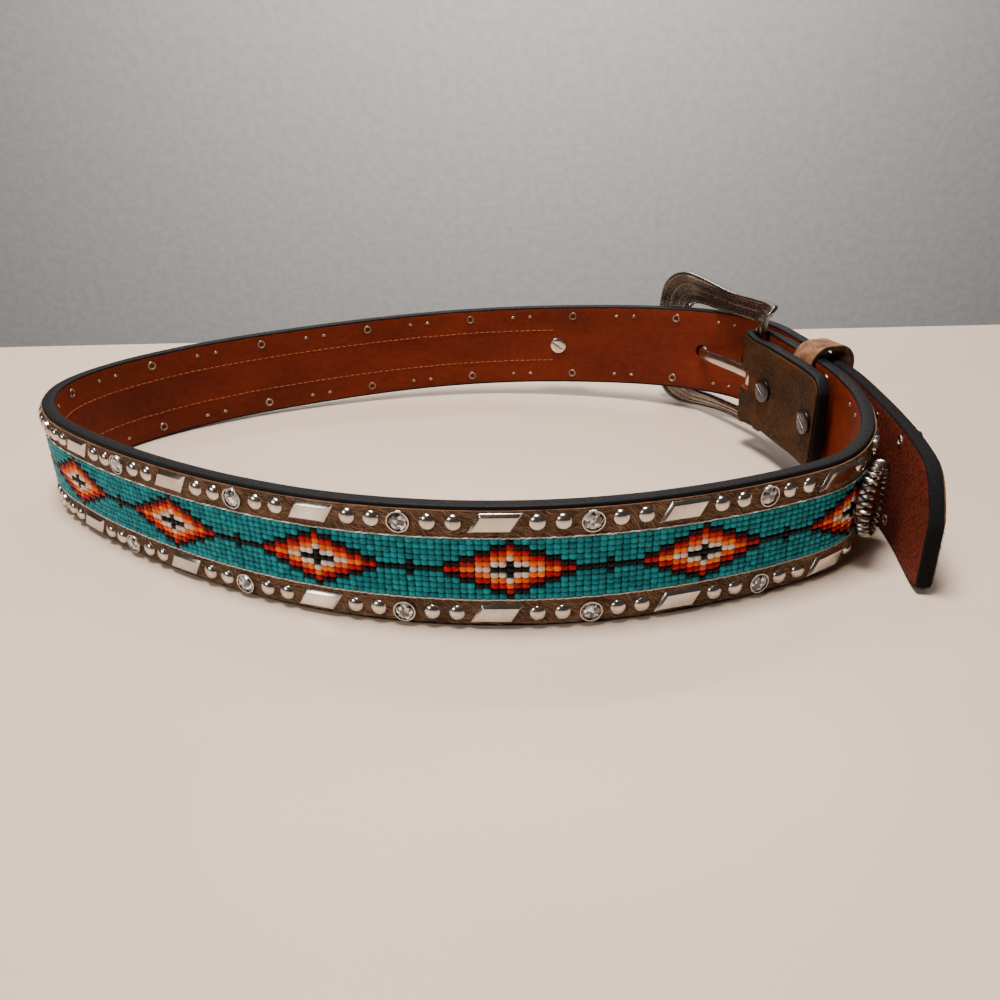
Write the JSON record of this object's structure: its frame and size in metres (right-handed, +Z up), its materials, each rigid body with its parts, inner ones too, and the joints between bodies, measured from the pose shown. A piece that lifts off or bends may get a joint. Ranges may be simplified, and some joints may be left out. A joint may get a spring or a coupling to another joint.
{
  "type": "beaded leather belt",
  "caption": "Buckled leather belt with a beaded band, hair-on hide borders, metal studs, crystals, two conchos, a frame buckle and a keeper, standing on its edge.",
  "frame": {"origin": "middle of the footprint on the surface that the belt stands on", "axes": "+Z up, +Y from the bead front towards the back of the loop, +X towards the buckle side"},
  "size_m": [0.3148, 0.2242, 0.0632],
  "materials": {
    "strap_leather": "russet leather inside, edges painted black",
    "hide": "short brown hair-on hide",
    "beads": "rows of glossy round seed beads",
    "pewter": "antiqued nickel plate",
    "nickel": "polished nickel plate",
    "tan_leather": "smooth tan leather with dark edges",
    "crystal": "clear faceted stone on foil in a nickel cup"
  },
  "bodies": {
    "root": {"strap_core": "strap_leather", "hide_facing": "hide", "bead_band": "beads", "buckle_frame": "pewter", "buckle_tongue": "pewter", "keeper": "tan_leather", "flap_screw_1": "pewter", "flap_screw_2": "pewter", "concho_1": "nickel", "concho_2": "nickel", "concho_screw_1": "nickel", "concho_screw_2": "nickel", "crystal_upper_01": "crystal", "crystal_upper_02": "crystal", "crystal_upper_03": "crystal", "crystal_upper_04": "crystal", "crystal_upper_05": "crystal", "crystal_upper_06": "crystal", "crystal_upper_07": "crystal", "crystal_upper_08": "crystal", "crystal_upper_09": "crystal", "crystal_upper_10": "crystal", "crystal_upper_11": "crystal", "crystal_upper_12": "crystal", "crystal_upper_13": "crystal", "crystal_upper_14": "crystal", "crystal_upper_15": "crystal", "crystal_upper_16": "crystal", "crystal_upper_17": "crystal", "crystal_upper_18": "crystal", "crystal_lower_01": "crystal", "crystal_lower_02": "crystal", "crystal_lower_03": "crystal", "crystal_lower_04": "crystal", "crystal_lower_05": "crystal", "crystal_lower_06": "crystal", "crystal_lower_07": "crystal", "crystal_lower_08": "crystal", "crystal_lower_09": "crystal", "crystal_lower_10": "crystal", "crystal_lower_11": "crystal", "crystal_lower_12": "crystal", "crystal_lower_13": "crystal", "crystal_lower_14": "crystal", "crystal_lower_15": "crystal", "crystal_lower_16": "crystal", "crystal_lower_17": "crystal", "crystal_lower_18": "crystal"}
  },
  "joints": []
}
